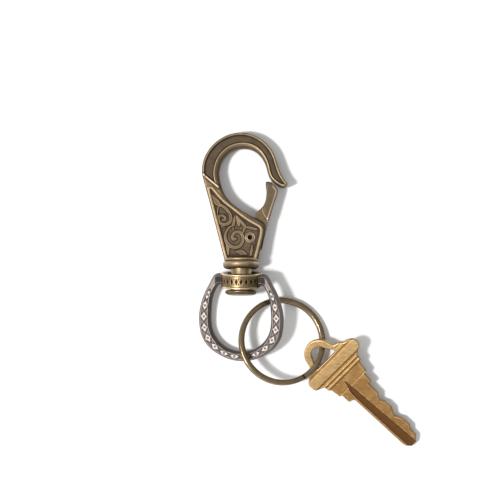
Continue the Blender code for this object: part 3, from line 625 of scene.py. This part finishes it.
def hook_relief(points):
    """Half the hook's thickness at each place, and its wear with painted highlights and painted shade."""
    d_out = distance(points, OUTER_LINE)[0]
    d_in, along = distance(points, INNER_LINE)
    d_side = np.minimum(distance(points, CHEEK_LINE)[0], distance(points, FOOT_LINE)[0])
    round_in = np.interp(along, np.linspace(0, 1, len(INNER_ROUNDING)), INNER_ROUNDING)
    ridge = np.array(RIDGE, float)
    normal = np.array([ridge[0, 1] - ridge[1, 1], ridge[1, 0] - ridge[0, 0]])
    above = (points - ridge[0]) @ (normal / np.hypot(*normal))
    on_arm = ramp(above, 0.35, 0.9)
    height = np.full(len(points), HOOK_PLAIN)
    wear_and_shading = np.full(len(points), 0.42)

    # The arm: a channel between two rims, closed off by the ridge.
    channel = ramp(d_out, 0.95, 1.35) * ramp(d_in - round_in, 0.4, 0.8) * on_arm
    height -= (HOOK_PLAIN - HOOK_FLOOR) * channel
    wear_and_shading -= 0.2 * channel
    groove = bead(d_out - 1.2, 0.28) * ramp(d_in - round_in, 0.3, 0.9) * on_arm
    groove = np.maximum(groove, bead(d_in - round_in - 0.65, 0.25) * ramp(d_out, 1.0, 1.4) * on_arm)
    wear_and_shading -= 0.26 * groove
    height -= 0.06 * groove
    rim = bead(d_out - 0.6, 0.36) * ramp(above, -1.5, 0.5)
    height += (HOOK_FACE - HOOK_PLAIN) * rim
    wear_and_shading += 0.22 * rim
    inner_rim = bead(d_in - round_in - 0.2, 0.3) * on_arm
    height += 0.16 * inner_rim
    wear_and_shading += 0.34 * inner_rim
    band = bead(distance(points, ridge)[0], 0.36)
    height += 0.22 * band
    wear_and_shading += 0.36 * band
    beside = bead(distance(points, ridge)[0] - 0.65, 0.32)
    wear_and_shading -= 0.26 * beside
    height -= 0.1 * beside

    # The panel: a lowered floor with a raised border, scrollwork and the pin's seat.
    inner = depth_inside(points, BORDER_LINE)
    lowered = ramp(inner, 0.3, 0.6)
    trench = bead(inner - 0.95, 0.5)
    height -= (HOOK_PLAIN - PANEL_FLOOR) * lowered + 0.12 * trench * lowered
    wear_and_shading -= 0.16 * lowered + 0.24 * trench
    stipple = np.sin(6.1 * points[:, 0] + 1.9 * np.sin(4.3 * points[:, 1]))
    stipple *= np.sin(5.3 * points[:, 1] + 1.7 * np.sin(5.1 * points[:, 0]))
    stipple *= ramp(inner, 0.9, 1.4)
    height += 0.035 * stipple
    wear_and_shading += 0.08 * stipple
    at_right = ramp(points[:, 0], 4.0, 6.0) * ramp(19.5 - points[:, 1], 0, 1.5)
    border = np.minimum(1.2 * bead(distance(points, BORDER_LINE)[0], 0.62 + 0.1 * at_right), 1)
    height += 0.24 * border
    wear_and_shading += 0.28 * border
    outside = ramp(-inner, 0.45, 0.9) * (1 - on_arm)
    # Outside the border the left side is made lighter and the right side darker: painted light from the left.
    wear_and_shading += outside * (0.1 * ramp(-points[:, 0], 0, 5) - 0.16 * ramp(points[:, 0], 1, 5))
    ornaments = [ribbon(points, line, widths, 0.42) for line, widths in SCROLL_LINES]
    cut = np.minimum.reduce([gap for up, shine, gap in ornaments])
    # A dark outline round each scroll, in a shallow groove: painted shade at the ribbon's foot.
    outlined = bead(cut - 0.12, 0.3) * (cut > 0) * (inner > 0.3)
    wear_and_shading -= 0.22 * outlined
    height -= 0.07 * outlined
    for up, shine, gap in ornaments:
        height = np.where(inner > 0.2, np.maximum(height, PANEL_FLOOR + up), height)
        wear_and_shading = np.where(inner > 0.2, np.maximum(wear_and_shading, 0.1 + 0.48 * shine), wear_and_shading)
    to_pin = np.hypot(*(points - PIN).T)
    seat = bead(to_pin - 1.66, 0.3)
    height = np.maximum(height, (PANEL_FLOOR + 0.32 * seat) * (to_pin < 2.1))
    wear_and_shading = np.maximum(wear_and_shading, 0.8 * seat)

    # The rounded edges, whose wear blends into the walls'; on the opening's inner wall that is painted shade.
    edge_out = rounding(d_out, HOOK_EDGE)
    height -= HOOK_EDGE * (1 - edge_out)
    wear_and_shading = wear_and_shading * edge_out + SIDE_WEAR * (1 - edge_out)
    edge_in = rounding(d_in, round_in)
    height -= round_in * (1 - edge_in)
    wear_and_shading = wear_and_shading * edge_in + INNER_WALL_SHADE * (1 - edge_in)
    edge_side = rounding(d_side, CHEEK_EDGE)
    height -= CHEEK_EDGE * (1 - edge_side)
    wear_and_shading = wear_and_shading * edge_side + SIDE_WEAR * (1 - edge_side)
    return height, wear_and_shading


def build_hook(material):
    """The cast hook, slotted for the gate and drilled for the pin."""
    body = relief_plate("hook_casting", HOOK_OUTLINE, hook_relief)
    combine(body, prism("slot", SLOT, -SLOT_HALF_WIDTH, SLOT_HALF_WIDTH), "DIFFERENCE")
    combine(body, prism("drill", arc(PIN, PIN_HOLE_RADIUS, 0, 360, 48)[:-1], -6, 6), "DIFFERENCE")
    points = vertices(body)
    height, wear_and_shading = hook_relief(points[:, :2])
    depth = height - np.abs(points[:, 2])
    wear_and_shading = np.where(depth > ON_FACE, WALL_WEAR, wear_and_shading)
    in_slot = (np.abs(points[:, 2]) < SLOT_HALF_WIDTH + 0.02) & (depth > 0.5)
    in_slot &= depth_inside(points[:, :2], HOOK_OUTLINE) > 0.3
    # The walls of the gate's slot get painted shade.
    wear_and_shading = np.where(in_slot, SLOT_SHADE, wear_and_shading)
    finish_mesh(body, HOOK_AT, wear_and_shading)
    return finish_piece(body, material, "hook", "antique_brass", "hook_body")


def build_flange(material):
    """The flange at the hook's foot: a thin upper disc over a fat rounded one."""
    radius, low = FLANGE_RADIUS, FLANGE_LOW
    line = smooth_through([
        (radius - 1.3, low + 0.02), (radius - 0.5, low + 0.35), (radius - 0.12, low + 1.0),
        (radius, low + 1.7), (radius - 0.15, low + 2.3), (radius - 0.6, low + 2.75),
        (radius - 0.75, low + 2.95),
        (radius - 0.5, low + 3.15), (radius - 0.4, low + 3.45), (radius - 0.6, FLANGE_HIGH - 0.3),
        (radius - 1.3, FLANGE_HIGH - 0.08), (radius - 2.6, FLANGE_HIGH - 0.02),
    ], 6)

    def detail(angle, profile):
        # The wear is high on the upper side of the fat disc, as a painted highlight, and low on its
        # underside, as painted shade.
        shade = np.interp(profile[:, 1] - low, [0, 0.8, 1.5, 2.1, 2.6, 2.9, 3.2, 3.5, 4.1],
                          [0.2, 0.35, 0.6, 0.85, 0.65, 0.25, 0.65, 0.9, 0.6])
        return np.zeros(len(profile)), shade

    flange = turned("hook_flange", line, HOOK_AT, detail, steps=160, closed=False)
    return finish_piece(flange, material, "hook", "antique_brass")


# --- Gate, pin and spring -----------------------------
BLADE_LINE = smooth_through(GATE_BLADE, 8, closed=True)
BLADE_FRONT = smooth_through(GATE_BLADE[3:8])


def gate_relief(points):
    """Half the blade's thickness at each place, and its wear with a painted highlight along the front edge.
    """
    inner = depth_inside(points, BLADE_LINE)
    height = GATE_HALF - 0.5 * (1 - rounding(inner, 0.5))
    x, y = points[:, 0], points[:, 1]
    # A bright line along the front edge is a painted highlight.
    wear_and_shading = 0.32 + 0.5 * bead(distance(points, BLADE_FRONT)[0] - 0.55, 0.4)
    wear_and_shading += 0.14 * ramp(27.4 - y, 0, 1.5) * ramp(9.6 - x, 0, 1.0)
    return height, wear_and_shading


def build_gate(material):
    """The gate's thick blade, and the thin tongue that reaches the pin through the hook's slot."""
    blade = relief_plate("gate_blade", BLADE_LINE, gate_relief)
    outline = np.concatenate([GATE_TONGUE, arc(PIN, HUB_RADIUS, 300, 130, 24), GATE_TONGUE_LEFT])
    combine(blade, prism("tongue", outline, -TONGUE_HALF, TONGUE_HALF), "UNION")
    bore = arc(PIN, PIN_RADIUS + PIN_CLEARANCE, 0, 360, 48)[:-1]
    combine(blade, prism("bore", bore, -4, 4), "DIFFERENCE")
    room = SPRING_RADIUS + SPRING_WIRE + 0.15
    pocket = np.concatenate([arc((0, 0), room, -90, 0, 12), [(room, 4.2), (-5, 4.2), (-5, -4), (0, -4)]])
    combine(blade, prism("pocket", pocket + PIN, -SPRING_ROOM_HALF, SPRING_ROOM_HALF), "DIFFERENCE")
    points = vertices(blade)
    height, wear_and_shading = gate_relief(points[:, :2])
    tongue_wear_and_shade = np.where(points[:, 1] > 20, 0.37, 0.15)  # darker inside the slot as painted shade; the part outside the slot is rubbed
    wear_and_shading = np.where(depth_inside(points[:, :2], BLADE_LINE) > -0.01, wear_and_shading, tongue_wear_and_shade)
    wear_and_shading = np.where(np.abs(points[:, 2]) < height - 0.6, 0.25, wear_and_shading)
    finish_mesh(blade, HOOK_AT, wear_and_shading)
    return finish_piece(blade, material, "gate", "gate_brass", "gate_lever")


def build_pin(material):
    """The pin with a rounded rim round the blind bore in each end."""
    out, bore, half = PIN_RADIUS, PIN_BORE, PIN_HALF_LENGTH
    floor = half - PIN_BORE_DEPTH
    profile = np.concatenate([
        [(0.1, floor), (bore, floor)], arc((bore + 0.12, half - 0.12), 0.12, 180, 90, 4),
        arc((out - 0.18, half - 0.18), 0.18, 90, 0, 5), arc((out - 0.18, -half + 0.18), 0.18, 0, -90, 5),
        arc((bore + 0.12, -half + 0.12), 0.12, 270, 180, 4), [(bore, -floor), (0.1, -floor)],
    ])

    def detail(angle, line):
        # The bore's walls and floor are painted near black: painted shade in the hole.
        return np.zeros(len(line)), np.where(line[:, 0] < bore + 0.05, 0.0, 0.8)

    upright = PIN_AT @ Matrix.Rotation(math.radians(90), 4, "X")
    pin = turned("pivot_pin", profile[::-1], upright, detail, steps=64, closed=False)
    return finish_piece(pin, material, "hook", "spring_steel", "gate_pin")


def build_spring(material):
    """The torsion spring round the pin, with a low leg and a high leg; it is left in place without a body."""
    pitch = SPRING_WIRE + 0.06
    low = -pitch * SPRING_TURNS / 2
    steps = 48 * SPRING_TURNS + 12
    angles = np.radians(270 + np.arange(steps + 1) * (360 * SPRING_TURNS + 90) / steps)
    heights = low + pitch * SPRING_TURNS * np.arange(steps + 1) / steps
    coil = np.column_stack([SPRING_RADIUS * np.cos(angles), SPRING_RADIUS * np.sin(angles), heights])
    first = [(x, -SPRING_RADIUS, low) for x in np.linspace(-LOW_LEG, 0, 8)[:-1]]
    last = [(SPRING_RADIUS, y, heights[-1]) for y in np.linspace(0, HIGH_LEG, 8)[1:]]
    path = np.concatenate([first, coil, last])
    circle = arc((0, 0), SPRING_WIRE / 2, 0, 360, 12)[:-1]
    spring = tube("torsion_spring", path, circle, PIN_AT, 0.6)
    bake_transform(spring)
    return finish_piece(spring, material, None, "spring_steel", "gate_spring")


# --- Swivel -------------------------------------------
def build_post(material):
    """The rivet: a domed head under the barrel and the journal inside it."""
    head, top = POST_HEAD_RADIUS, POST_HEAD_HIGH
    line = np.concatenate([
        smooth_through([
            (0.3, POST_HEAD_LOW + 0.01), (2.4, POST_HEAD_LOW + 0.03), (head - 1.3, POST_HEAD_LOW + 0.18),
            (head - 0.4, POST_HEAD_LOW + 0.62), (head - 0.03, POST_HEAD_LOW + 1.2), (head - 0.2, top - 0.55),
            (head - 0.9, top - 0.15),
        ], 6),
        [(POST_RADIUS + 0.1, top - 0.02), (POST_RADIUS, top + 0.1), (POST_RADIUS, FLANGE_LOW + 0.3)],
    ])

    def detail(angle, profile):
        shade = np.interp(profile[:, 0], [0, 3, 5, 5.9], [0.36, 0.4, 0.46, 0.5])
        return np.zeros(len(profile)), np.where(profile[:, 1] > top, 0.66, shade)

    post = turned("swivel_rivet", line, HOOK_AT, detail, steps=128, closed=False)
    return finish_piece(post, material, "hook", "worn_brass", "swivel_post")


def build_barrel(material):
    """The barrel: raised rims, and a band engraved with a row of lozenges and dots."""
    r, top, rim = BARREL_RADIUS, BARREL_HALF, BARREL_HALF - BARREL_RIM
    floor = r - BARREL_BAND
    band = np.column_stack([np.full(25, floor), np.linspace(-rim + 0.12, rim - 0.12, 25)])
    profile = np.concatenate([
        [(BARREL_BORE, -top + 0.1), (BARREL_BORE + 0.1, -top)], [(r - 1.5, -top)],
        arc((r - 0.25, -top + 0.25), 0.25, -90, 0, 5), [(r, -rim - 0.1), (r - 0.08, -rim)], band,
        [(r - 0.08, rim), (r, rim + 0.1)], arc((r - 0.25, top - 0.25), 0.25, 0, 90, 5), [(r - 1.5, top)],
        [(BARREL_BORE + 0.1, top), (BARREL_BORE, top - 0.1)],
    ])
    pitch = 2 * math.pi / LOZENGES

    def detail(angle, line):
        y, radius = line[:, 1], line[:, 0]
        turn = (angle / pitch + 0.5) % 1 - 0.5
        other = (angle / pitch) % 1 - 0.5
        lozenge = 1 - (abs(turn) * pitch * r / LOZENGE_WIDE + np.abs(y) / LOZENGE_HIGH)
        dots = 1 - np.hypot(other * pitch * r, np.abs(y) - DOT_HEIGHT) / DOT_RADIUS
        cut = np.maximum(ramp(lozenge, 0.0, 0.35), ramp(dots, 0.0, 0.5))
        cut = cut * (radius > floor - 0.01) * (np.abs(y) < rim)
        shade = np.where(np.abs(y) > rim - 0.05, 0.95, 0.5) - 0.5 * cut
        shade = np.where(radius < r - 0.7, 0.42, shade)
        return -ENGRAVED * cut, shade

    barrel = turned("swivel_drum", profile, SHACKLE_AT, detail, steps=480)
    return finish_piece(barrel, material, "shackle", "worn_brass", "swivel_barrel")


# --- Shackle ------------------------------------------
def both_sides(line):
    """The right half of a symmetric line joined to its mirror image, from the right end to the left."""
    return np.concatenate([line, (line * [-1, 1])[::-1][1:]])


SHACKLE_OUT = both_sides(smooth_through(SHACKLE_OUTER))
SHACKLE_IN = both_sides(smooth_through(SHACKLE_INNER))
SHACKLE_OUTLINE = np.concatenate([SHACKLE_OUT, SHACKLE_IN[::-1]])


def middle_line(a, b, count):
    """The line halfway between two lines, with points evenly spaced."""
    def even(line):
        steps = np.concatenate([[0], np.cumsum(np.hypot(*np.diff(line, axis=0).T))])
        at = np.linspace(0, steps[-1], count)
        return np.column_stack([np.interp(at, steps, line[:, 0]), np.interp(at, steps, line[:, 1])])
    return (even(a) + even(b)) / 2


SHACKLE_MIDDLE = middle_line(SHACKLE_OUT, SHACKLE_IN, 240)
SHACKLE_LENGTH = np.hypot(*np.diff(SHACKLE_MIDDLE, axis=0).T).sum()


def shackle_relief(points):
    """Half the shackle's thickness at each place, and its wear with painted shade on the inner sides."""
    d_out, d_in = distance(points, SHACKLE_OUT)[0], distance(points, SHACKLE_IN)[0]
    along = (distance(points, SHACKLE_MIDDLE)[1] - 0.5) * SHACKLE_LENGTH
    edge = np.minimum(d_out, d_in) - SHACKLE_SLOPE
    offset = (d_in - d_out) / 2
    reach = DIAMOND_COUNT / 2 * DIAMOND_PITCH
    patterned = 1 - ramp(np.abs(along), reach - 0.2, reach + 0.5)
    recess = ramp(edge, 0.22, 0.42) * patterned
    height = SHACKLE_HALF - 0.04 - 0.26 * recess
    wear_and_shading = 0.52 - 0.14 * recess
    # The rim is brighter along the inside than along the outside.
    wear_and_shading += np.where(d_in < d_out, 0.42, 0.24) * bead(edge - 0.1, 0.22)
    place = (along / DIAMOND_PITCH) % 1 - 0.5
    lozenge = 1 - np.abs(place) * DIAMOND_PITCH / DIAMOND_LONG - np.abs(offset) / DIAMOND_WIDE
    raised = ramp(lozenge, 0.0, 0.22) * patterned
    height += 0.26 * raised
    wear_and_shading += 0.5 * raised - 0.34 * bead(lozenge + 0.06, 0.16) * patterned
    dot = bead(np.hypot(place * DIAMOND_PITCH, offset), 0.42) * patterned
    height -= 0.13 * dot
    wear_and_shading -= 0.55 * dot
    plain = 1 - patterned
    pebble = np.sin(5.1 * points[:, 0] + 1.3 * np.sin(3.7 * points[:, 1]))
    pebble *= np.sin(5.7 * points[:, 1] + 1.1 * np.sin(4.1 * points[:, 0]))
    height += plain * (0.05 * pebble - 0.05)
    wear_and_shading += plain * (0.08 * pebble - 0.08)
    collar = ramp(points[:, 1], -3.2, -2.2) * (np.abs(points[:, 0]) < 9.4)
    flutes = np.cos(np.abs(points[:, 0]) * 2 * math.pi / 0.8)
    height += collar * 0.07 * flutes
    wear_and_shading += collar * (0.14 * flutes - 0.5)
    slope = np.clip(-edge / SHACKLE_SLOPE, 0, 1)
    height -= SHACKLE_DROP * slope ** 1.25
    # The sloped sides: the inner ones are darkened as painted shade, the outer ones are as light as the face.
    wear_and_shading = np.where(slope > 0, np.where(d_in < d_out, 0.2, 0.52), wear_and_shading)
    return height, wear_and_shading


def build_shackle(material):
    """The horseshoe, with a rim along both edges and a row of lozenges between them."""
    shackle = relief_plate("horseshoe", SHACKLE_OUTLINE, shackle_relief)
    points = vertices(shackle)
    wear_and_shading = shackle_relief(points[:, :2])[1]
    on_wall = (SHACKLE_HALF - np.abs(points[:, 2])) > 0.6
    finish_mesh(shackle, SHACKLE_AT, np.where(on_wall, np.minimum(wear_and_shading, 0.45), wear_and_shading))
    return finish_piece(shackle, material, "shackle", "antique_silver", "horseshoe_shackle")


# --- Ring and key -------------------------------------
def build_ring(material):
    """The split ring: one flattened wire wound twice round, stepping to the other coil at the jog."""
    steps, sides = WIRE_STEPS, WIRE_SIDES
    rings, coil_wear_and_shade = [], []
    for i in range(steps + 1):
        angle = WIRE_START + (WIRE_END - WIRE_START) * i / steps
        climb = min(max((angle - JOG_START) / (JOG_END - JOG_START), 0), 1)
        height = WIRE_PITCH * (climb * climb * (3 - 2 * climb) - 0.5)
        from_end = math.radians(min(angle - WIRE_START, WIRE_END - angle)) * RING_RADIUS
        shrink = 1 - 0.28 * (1 - min(from_end / 0.5, 1)) ** 2
        a = 2 * math.pi * (np.arange(sides) + 0.5) / sides
        across = np.sign(np.cos(a)) * np.abs(np.cos(a)) ** 0.75 * WIRE_WIDTH / 2 * shrink
        up = np.sign(np.sin(a)) * np.abs(np.sin(a)) ** 0.75 * WIRE_HEIGHT / 2 * shrink
        radius = RING_RADIUS + across
        turn = math.radians(angle)
        rings.append(np.column_stack([radius * math.cos(turn), radius * math.sin(turn), height + up]))
        paired = 0 if JOG_START <= angle <= WIRE_START + 360 else 1
        # Where the two coils lie together, the faces turned towards the other coil are darkened: painted
        # shade between the coils.
        facing = (np.sign(up) == (-1 if height > 0 else 1)) * np.abs(up) / (WIRE_HEIGHT / 2)
        seam = 0.5 * max(0.0, 1 - from_end / 0.7)
        rubbed = 0.18 * (np.abs(across) > 0.72 * WIRE_WIDTH / 2)
        coil_wear_and_shade.append(0.5 - seam - 0.5 * facing * paired + rubbed)
    points = np.concatenate(rings)
    faces = []
    for r in range(steps):
        for k in range(sides):
            j = (k + 1) % sides
            faces.append((r * sides + k, (r + 1) * sides + k, (r + 1) * sides + j, r * sides + j))
    last = steps * sides
    faces += [tuple(reversed(range(sides))), tuple(last + k for k in range(sides))]
    ring = make("split_coil", points, faces, RING_AT, np.concatenate(coil_wear_and_shade))
    return finish_piece(ring, material, "ring", "ring_brass", "split_ring")


KEY_LOOP = arc((KEY_LOOP_RADIUS, 0), KEY_LOOP_RADIUS, 260, 100, 48)
KEY_OUTLINE = np.concatenate([
    KEY_LOOP, KEY_BOW_FRONT, KEY_CUT_EDGE, [(KEY_CUT_EDGE[-1][0] - 1.2, KEY_BACK), (KEY_STOP_X, KEY_BACK)],
    KEY_BOW_BACK[::-1],
])
KEY_HOLE = np.concatenate([
    arc((KEY_LOOP_RADIUS, 0), KEY_LOOP_RADIUS - KEY_LOOP_WIDTH, 105, 255, 40),
    arc((KEY_HOLE_END - 0.8, -KEY_HOLE_HALF_WIDTH + 0.8), 0.8, 270, 360, 6),
    arc((KEY_HOLE_END - 0.8, KEY_HOLE_HALF_WIDTH - 0.8), 0.8, 0, 90, 6),
])


def key_relief(points):
    """Half the key's thickness at each place, and its wear with painted shade in the groove."""
    edge = distance(points, KEY_OUTLINE, closed=True)[0]
    hole = distance(points, KEY_HOLE, closed=True)[0]
    x = points[:, 0]
    bars = np.zeros(len(points))
    for start, end in KEY_BARS:
        bar = ramp(x, start - 0.25, start + 0.05) * (1 - ramp(x, end - 0.05, end + 0.25))
        bars = np.maximum(bars, bar)
    bow = ramp(x, KEY_HOLE_END + 0.4, KEY_HOLE_END + 0.7)
    bow = bow * (1 - ramp(x, KEY_STEP_LINE - 0.15, KEY_STEP_LINE + 0.15))
    height = KEY_HALF - 0.17 * bow * (1 - bars)
    wear_and_shading = 0.6 - 0.14 * bow * (1 - bars)
    lines = np.zeros(len(points))
    for place in [place for bar in KEY_BARS for place in bar] + [KEY_STEP_LINE]:
        lines = np.maximum(lines, bead(x - place, 0.2))
    wear_and_shading -= 0.34 * lines * bow + 0.17 * ramp(x, KEY_STEP_LINE, KEY_STEP_LINE + 0.3)
    height -= 0.06 * lines * bow
    step = bead(x - 8.2, 0.2) * ramp(hole, 0.9, 1.2)
    wear_and_shading -= 0.3 * step
    height -= 0.06 * step
    groove = depth_inside(points, np.array(KEY_GROOVE))
    milled = ramp(groove, 0.0, 0.22)
    valley = -1.75 + 0.035 * (x - 24.0)
    height -= milled * (0.55 - 0.16 * np.abs(points[:, 1] - valley))
    # The milled groove is darker, and darker still on the side of the valley line away from the cuts, as
    # painted shade.
    wear_and_shading -= milled * (0.3 + 0.14 * ramp(valley - points[:, 1], -0.1, 0.1))
    wear_and_shading += 0.12 * bead(groove + 0.1, 0.22)
    height -= 0.3 * (1 - rounding(edge, 0.35)) + 0.3 * (1 - rounding(hole, 0.35))
    wear_and_shading += 0.14 * bead(np.minimum(edge, hole) - 0.3, 0.25)
    return height, wear_and_shading


def build_key(material):
    """The key: loop, barred bow, shoulder and the cut and milled blade."""
    key = relief_plate("key_blank", KEY_OUTLINE, key_relief, [KEY_HOLE])
    points = vertices(key)
    height, wear_and_shading = key_relief(points[:, :2])
    on_wall = height - np.abs(points[:, 2]) > ON_FACE
    finish_mesh(key, KEY_AT, np.where(on_wall, KEY_WALL_WEAR, wear_and_shading))
    return finish_piece(key, material, "key", "key_brass", "house_key")


# --- Scene --------------------------------------------
def plain_floor():
    """A pale matt floor."""
    material = bpy.data.materials.new("floor")
    material.use_nodes = True
    shader = material.node_tree.nodes["Principled BSDF"]
    shader.inputs["Base Color"].default_value = (0.9, 0.9, 0.9, 1)
    shader.inputs["Roughness"].default_value = 0.9
    shader.inputs["Specular IOR Level"].default_value = 0.1
    mesh = bpy.data.meshes.new("floor")
    corners = [(FLOOR_HALF * x, FLOOR_HALF * y, 0) for x, y in ((-1, -1), (1, -1), (1, 1), (-1, 1))]
    mesh.from_pydata(corners, [], [(0, 1, 2, 3)])
    mesh.materials.append(material)
    floor = bpy.data.objects.new("floor", mesh)
    bpy.context.scene.collection.objects.link(floor)


def key_light():
    """A soft square light from the left, aimed at the object."""
    light = bpy.data.lights.new("key_light", "AREA")
    light.shape = "SQUARE"
    light.size = LIGHT_SIZE
    light.energy = LIGHT_POWER
    obj = bpy.data.objects.new("key_light", light)
    bpy.context.scene.collection.objects.link(obj)
    obj.location = LIGHT_AT
    obj.rotation_euler = (Vector(LIGHT_TARGET) - Vector(LIGHT_AT)).to_track_quat("-Z", "Y").to_euler()


def room():
    """A room that lights the object mostly from overhead, and is plain white where the camera sees it."""
    scene = bpy.context.scene
    world = bpy.data.worlds.new("room")
    world.use_nodes = True
    nodes, links = world.node_tree.nodes, world.node_tree.links
    direction = nodes.new("ShaderNodeTexCoord")
    facing = nodes.new("ShaderNodeVectorMath")
    facing.operation = "DOT_PRODUCT"
    facing.inputs[1].default_value = Vector(ROOM_TOP).normalized()
    links.new(direction.outputs["Generated"], facing.inputs[0])
    spread = nodes.new("ShaderNodeMapRange")
    spread.interpolation_type = "SMOOTHSTEP"
    spread.inputs["From Min"].default_value = 0.0
    spread.inputs["From Max"].default_value = 0.8
    spread.inputs["To Min"].default_value = ROOM_DIM
    spread.inputs["To Max"].default_value = ROOM_BRIGHT
    links.new(facing.outputs["Value"], spread.inputs["Value"])
    rays = nodes.new("ShaderNodeLightPath")
    seen = nodes.new("ShaderNodeMath")
    seen.operation = "MAXIMUM"
    links.new(rays.outputs["Is Camera Ray"], seen.inputs[0])
    links.new(spread.outputs["Result"], seen.inputs[1])
    links.new(seen.outputs["Value"], nodes["Background"].inputs["Strength"])
    nodes["Background"].inputs["Color"].default_value = (1, 1, 1, 1)
    scene.world = world
    scene.view_settings.view_transform = "Standard"


def camera():
    """Straight above, as the photograph was taken."""
    data = bpy.data.cameras.new("camera")
    data.sensor_width = 36
    data.lens = data.sensor_width / (CAMERA_SPAN / CAMERA_HEIGHT)
    data.clip_start = 0.01
    obj = bpy.data.objects.new("camera", data)
    bpy.context.scene.collection.objects.link(obj)
    obj.location = (CAMERA_X * MM, CAMERA_Y * MM, (CAMERA_HEIGHT + OBJECT_MIDDLE) * MM)
    bpy.context.scene.camera = obj


BRASS = aged_metal("antique_brass", [
    (0.0, (34, 26, 18)), (0.25, (86, 71, 53)), (0.5, (124, 105, 79)), (0.8, (176, 153, 122)),
    (1.0, (212, 192, 162)),
], (0.58, 0.4))
GATE_BRASS = aged_metal("gate_brass", [
    (0.0, (34, 26, 18)), (0.3, (93, 79, 58)), (0.6, (128, 110, 86)), (1.0, (208, 186, 158)),
], (0.55, 0.3), mottle=300.0)
STEEL = aged_metal("spring_steel", [
    (0.0, (8, 7, 6)), (0.4, (84, 68, 50)), (0.9, (178, 156, 128)),
], (0.5, 0.28))
DRUM_BRASS = aged_metal("worn_brass", [
    (0.0, (18, 12, 8)), (0.3, (76, 59, 40)), (0.6, (140, 118, 86)), (1.0, (222, 200, 162)),
], (0.46, 0.3), metallic=(0.8, 1.0))
SILVER = aged_metal("antique_silver", [
    (0.0, (42, 36, 34)), (0.25, (92, 84, 79)), (0.55, (124, 115, 110)), (0.9, (145, 136, 131)),
    (1.0, (152, 143, 138)),
], (0.6, 0.46), metallic=(0.6, 0.85), blotch=0.28)
RING_BRASS = aged_metal("ring_brass", [
    (0.0, (28, 21, 14)), (0.4, (98, 82, 60)), (0.7, (148, 129, 99)), (1.0, (206, 190, 160)),
], (0.34, 0.16), metallic=(0.8, 1.0))
KEY_BRASS = aged_metal("key_brass", [
    (0.0, (80, 46, 8)), (0.2, (106, 69, 22)), (0.45, (137, 101, 57)), (0.6, (164, 135, 91)),
    (1.0, (206, 180, 134)),
], (0.5, 0.38), grain=1800.0, blotch=0.34, speckle=0.4,
    brushed=((0, 0, math.radians(42.6)), (1.0, 5.0, 5.0), 430.0))

build_hook(BRASS)
build_flange(BRASS)
build_gate(GATE_BRASS)
build_pin(STEEL)
build_spring(STEEL)
build_post(DRUM_BRASS)
build_barrel(DRUM_BRASS)
build_shackle(SILVER)
build_ring(RING_BRASS)
build_key(KEY_BRASS)
plain_floor()
room()
key_light()
camera()
